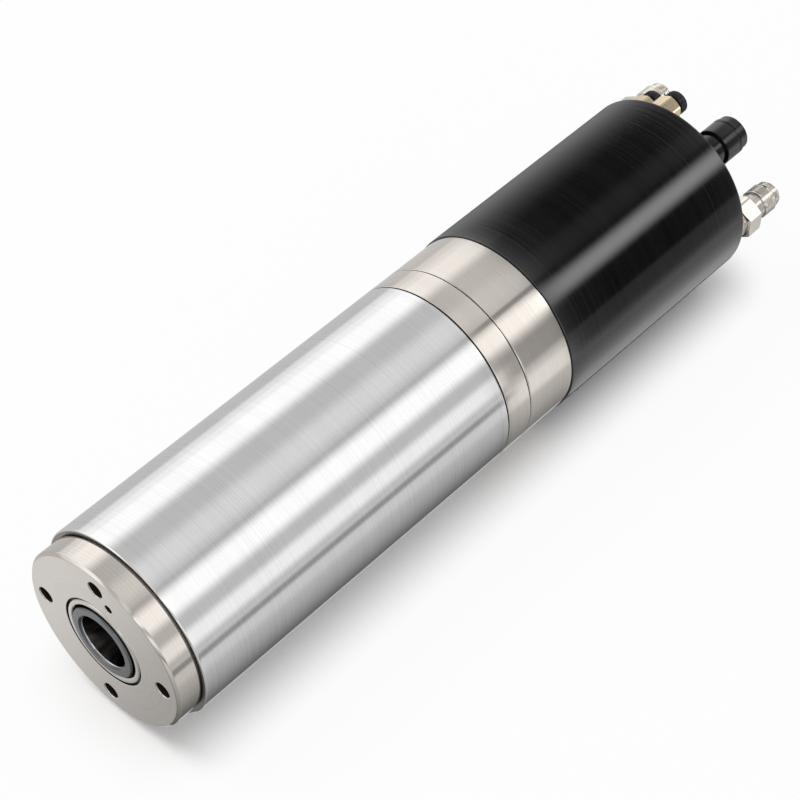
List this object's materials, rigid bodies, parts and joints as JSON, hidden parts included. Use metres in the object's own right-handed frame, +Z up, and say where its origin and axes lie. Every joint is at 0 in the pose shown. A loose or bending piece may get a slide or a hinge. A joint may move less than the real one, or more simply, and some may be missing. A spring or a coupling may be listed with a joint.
{
  "type": "motor spindle",
  "caption": "Round 80 mm water-cooled motor spindle with taper nose, pneumatic tool release and rear water, air and power ports.",
  "frame": {"origin": "centre of the nose flange's front face, on the spindle axis", "axes": "+X from the nose to the rear along the spindle axis, +Z up through one flange screw, lying on its side"},
  "size_m": [0.3481, 0.081, 0.081],
  "materials": {
    "housing_aluminium": "finely brushed round the tube, clear anodised",
    "nickel_plate": "satin nickel plating with faint turning marks",
    "black_anodised": "black anodised aluminium, brushed round the barrel",
    "ground_steel": "ground alloy steel",
    "bearing_steel": "lapped bearing steel",
    "screw_steel": "black oxide steel",
    "spring_steel": "blued spring steel",
    "brass": "machined brass, lightly plated",
    "nickel_brass": "nickel plated brass",
    "black_plastic": "moulded glass filled plastic",
    "connector_metal": "satin black plated zinc",
    "rubber": "nitrile rubber",
    "cage_resin": "fabric filled phenolic",
    "laminations": "stacked electrical steel",
    "copper": "varnished copper wire",
    "inner_aluminium": "machined aluminium"
  },
  "bodies": {
    "housing": {"front_flange": "nickel_plate", "flange_screws": "screw_steel", "nose_seal_ring": "nickel_plate", "front_bearing_housing": "ground_steel", "motor_housing": "housing_aluminium", "water_jacket": "inner_aluminium", "jacket_seals": "rubber", "stator_core": "laminations", "stator_windings": "copper", "front_outer_rings": "bearing_steel", "outer_ring_spacer": "ground_steel", "rear_bearing_housing": "nickel_plate", "rear_outer_rings": "bearing_steel", "preload_spring": "spring_steel", "cylinder_head": "nickel_plate", "head_screws": "screw_steel", "speed_sensor": "nickel_brass", "rear_cover": "black_anodised", "cylinder_divider": "inner_aluminium", "divider_clips": "spring_steel", "cylinder_seals": "rubber", "end_plate": "black_anodised", "tie_bolts": "screw_steel", "position_sensors": "nickel_brass", "water_fitting_bodies": "nickel_brass", "water_union_nuts": "nickel_brass", "water_washers": "rubber", "air_fitting_bodies": "brass", "connector_shell": "connector_metal", "connector_insert": "black_plastic"},
    "shaft": {"spindle_shaft": "ground_steel", "rotor_core": "laminations", "rotor_end_rings": "inner_aluminium", "front_inner_rings": "bearing_steel", "inner_ring_spacer": "ground_steel", "rear_inner_rings": "bearing_steel", "front_lock_nut": "screw_steel", "rear_lock_nut": "screw_steel", "pickup_ring": "ground_steel", "disc_springs": "spring_steel"},
    "front_ball_set": {"front_balls": "bearing_steel", "front_cages": "cage_resin"},
    "rear_ball_set": {"rear_balls": "bearing_steel", "rear_cages": "cage_resin"},
    "drawbar": {"drawbar": "ground_steel", "drawbar_nut": "ground_steel"},
    "jaw_1": {"gripper_jaw_1": "ground_steel"},
    "jaw_2": {"gripper_jaw_2": "ground_steel"},
    "jaw_3": {"gripper_jaw_3": "ground_steel"},
    "jaw_4": {"gripper_jaw_4": "ground_steel"},
    "piston": {"piston_rod": "ground_steel", "release_pistons": "inner_aluminium", "rod_sleeve": "ground_steel", "piston_nut": "screw_steel", "piston_seals": "rubber", "return_spring": "spring_steel"},
    "air_collar_1": {"air_release_collar_1": "black_plastic"},
    "air_collar_2": {"air_release_collar_2": "black_plastic"},
    "connector_ring": {"coupling_ring": "connector_metal"}
  },
  "joints": [
    {"name": "shaft_spin", "type": "hinge", "parent": "housing", "child": "shaft", "pos_m": [0.1, 0, 0], "axis": [1, 0, 0], "continuous": true},
    {"name": "front_cage_spin", "type": "hinge", "parent": "housing", "child": "front_ball_set", "pos_m": [0.028, 0, 0], "axis": [1, 0, 0], "continuous": true},
    {"name": "rear_cage_spin", "type": "hinge", "parent": "housing", "child": "rear_ball_set", "pos_m": [0.168, 0, 0], "axis": [1, 0, 0], "continuous": true},
    {"name": "piston_slide", "type": "slide", "parent": "housing", "child": "piston", "axis": [-1, 0, 0], "range_m": [0, 0.007], "stiffness_N_per_m": 3000, "deforming": ["return_spring"]},
    {"name": "drawbar_slide", "type": "slide", "parent": "shaft", "child": "drawbar", "axis": [-1, 0, 0], "range_m": [0, 0.006], "deforming": ["disc_springs"]},
    {"name": "jaw_1_open", "type": "hinge", "parent": "drawbar", "child": "jaw_1", "pos_m": [0.047, 0.00417, 0.00417], "axis": [0, 0.7071, -0.7071], "range_deg": [0, 4.5]},
    {"name": "jaw_2_open", "type": "hinge", "parent": "drawbar", "child": "jaw_2", "pos_m": [0.047, -0.00417, 0.00417], "axis": [0, 0.7071, 0.7071], "range_deg": [0, 4.5]},
    {"name": "jaw_3_open", "type": "hinge", "parent": "drawbar", "child": "jaw_3", "pos_m": [0.047, -0.00417, -0.00417], "axis": [0, -0.7071, 0.7071], "range_deg": [0, 4.5]},
    {"name": "jaw_4_open", "type": "hinge", "parent": "drawbar", "child": "jaw_4", "pos_m": [0.047, 0.00417, -0.00417], "axis": [0, -0.7071, -0.7071], "range_deg": [0, 4.5]},
    {"name": "air_collar_1_push", "type": "slide", "parent": "housing", "child": "air_collar_1", "axis": [-1, 0, 0], "range_m": [0, 0.0011], "stiffness_N_per_m": 900},
    {"name": "air_collar_2_push", "type": "slide", "parent": "housing", "child": "air_collar_2", "axis": [-1, 0, 0], "range_m": [0, 0.0011], "stiffness_N_per_m": 900},
    {"name": "connector_ring_turn", "type": "hinge", "parent": "housing", "child": "connector_ring", "pos_m": [0.325, -0.01643, 0.02629], "axis": [1, 0, 0], "continuous": true}
  ],
  "couplings": [
    {"joint": "front_cage_spin", "follows": "shaft_spin", "ratio": 0.415},
    {"joint": "rear_cage_spin", "follows": "shaft_spin", "ratio": 0.415},
    {"joint": "drawbar_slide", "follows": "piston_slide", "ratio": 0.85714},
    {"joint": "jaw_1_open", "follows": "piston_slide", "rad_per_m": 11.22},
    {"joint": "jaw_2_open", "follows": "piston_slide", "rad_per_m": 11.22},
    {"joint": "jaw_3_open", "follows": "piston_slide", "rad_per_m": 11.22},
    {"joint": "jaw_4_open", "follows": "piston_slide", "rad_per_m": 11.22}
  ]
}
